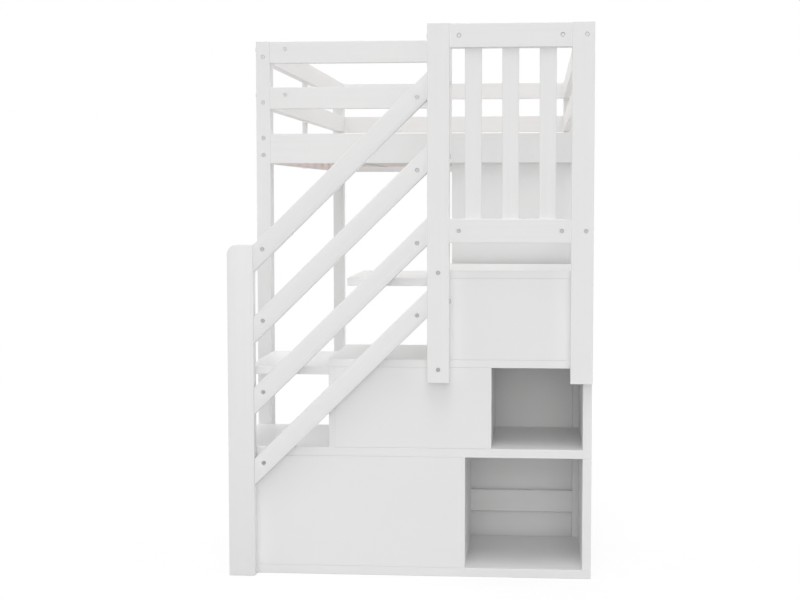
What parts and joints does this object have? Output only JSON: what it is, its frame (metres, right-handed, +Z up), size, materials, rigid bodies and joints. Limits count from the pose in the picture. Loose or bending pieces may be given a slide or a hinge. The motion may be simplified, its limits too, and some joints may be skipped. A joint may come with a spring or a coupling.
{
  "type": "loft bed with storage stairs",
  "caption": "White loft bed on four posts, with rails all round and a slatted deck; stepped storage boxes at one end form stairs, with sloping handrails and a slatted guard.",
  "frame": {"origin": "Centre of the bounding box in plan, at floor level.", "axes": "+X across the bed from the foot of the stairs to the wall side, +Y along the bed from the stairs to the far end, +Z up."},
  "size_m": [1.063, 2.489, 1.611],
  "materials": {
    "white_timber": "white satin paint on solid timber",
    "white_board": "white satin faced board",
    "bare_timber": "planed bare timber"
  },
  "bodies": {
    "root": {"closing_board": "white_board", "far_bed_rail": "white_timber", "far_foot_post": "white_timber", "far_middle_rail": "white_timber", "far_top_rail": "white_timber", "far_wall_post": "white_timber", "foot_side_bed_rail": "white_timber", "foot_side_cleat": "bare_timber", "foot_side_middle_rail": "white_timber", "foot_side_stile": "white_timber", "foot_side_top_rail": "white_timber", "gate_post": "white_timber", "guard_baluster_1": "white_timber", "guard_baluster_2": "white_timber", "guard_baluster_3": "white_timber", "guard_bottom_rail": "white_timber", "guard_foot_post": "white_timber", "guard_top_rail": "white_timber", "guard_wall_post": "white_timber", "handrail_1": "white_timber", "handrail_2": "white_timber", "handrail_3": "white_timber", "handrail_4": "white_timber", "landing_low_rail": "white_timber", "landing_top_rail": "white_timber", "lower_box_base": "white_board", "lower_box_divider": "white_board", "lower_box_foot_side": "white_board", "lower_box_front_panel": "white_board", "lower_box_top": "white_board", "lower_box_wall_side": "white_board", "middle_box_divider": "white_board", "middle_box_foot_side": "white_board", "middle_box_front_panel": "white_board", "middle_box_top": "white_board", "middle_box_wall_side": "white_board", "middle_tread": "white_board", "near_bed_rail": "white_timber", "near_crossbar": "white_timber", "near_foot_post": "white_timber", "near_middle_rail": "white_timber", "near_top_rail": "white_timber", "near_wall_post": "white_timber", "newel_post": "white_timber", "slat_deck": "bare_timber", "upper_box_foot_side": "white_board", "upper_box_front_panel": "white_board", "upper_box_top": "white_board", "upper_box_wall_side": "white_board", "upper_tread": "white_board", "wall_side_bed_rail": "white_timber", "wall_side_cleat": "bare_timber", "wall_side_middle_rail": "white_timber", "wall_side_stile": "white_timber", "wall_side_top_rail": "white_timber"}
  },
  "joints": []
}
